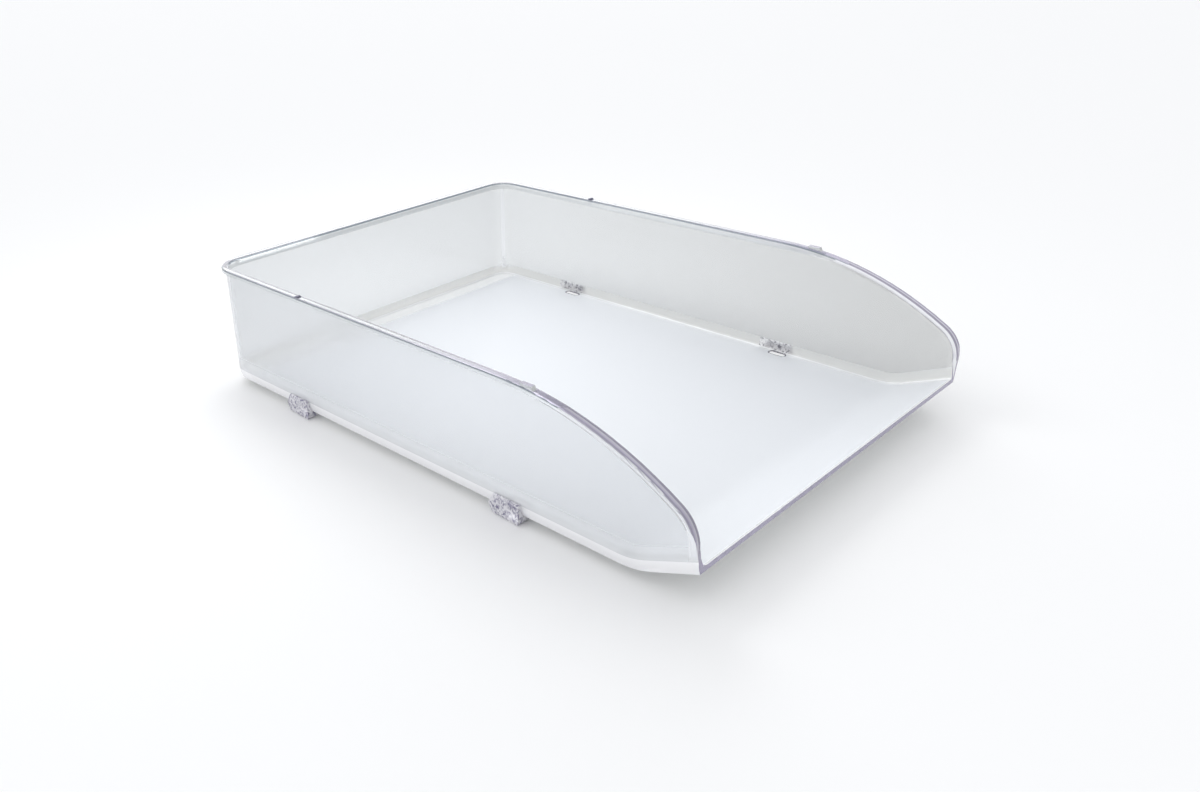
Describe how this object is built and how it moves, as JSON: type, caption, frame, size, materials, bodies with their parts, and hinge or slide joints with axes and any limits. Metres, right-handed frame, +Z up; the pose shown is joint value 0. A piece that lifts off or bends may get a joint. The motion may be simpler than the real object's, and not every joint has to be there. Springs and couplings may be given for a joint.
{
  "type": "document tray",
  "caption": "Clear open-front document tray with swooping side walls, a ramped front lip, a rolled rim and pressed-in stacking feet.",
  "frame": {"origin": "middle of the plan, on the surface that the feet stand on", "axes": "+Z up, +Y to the rear wall, the open front lip at -Y, +X to the right seen from the front"},
  "size_m": [0.255, 0.35, 0.0778],
  "materials": {
    "clear_shell": "clear moulded polystyrene, polished walls and a finely frosted floor",
    "clear_feet": "clear moulded polystyrene, polished"
  },
  "bodies": {
    "root": {"tray_shell": "clear_shell", "front_left_foot": "clear_feet", "front_right_foot": "clear_feet", "rear_left_foot": "clear_feet", "rear_right_foot": "clear_feet"}
  },
  "joints": []
}
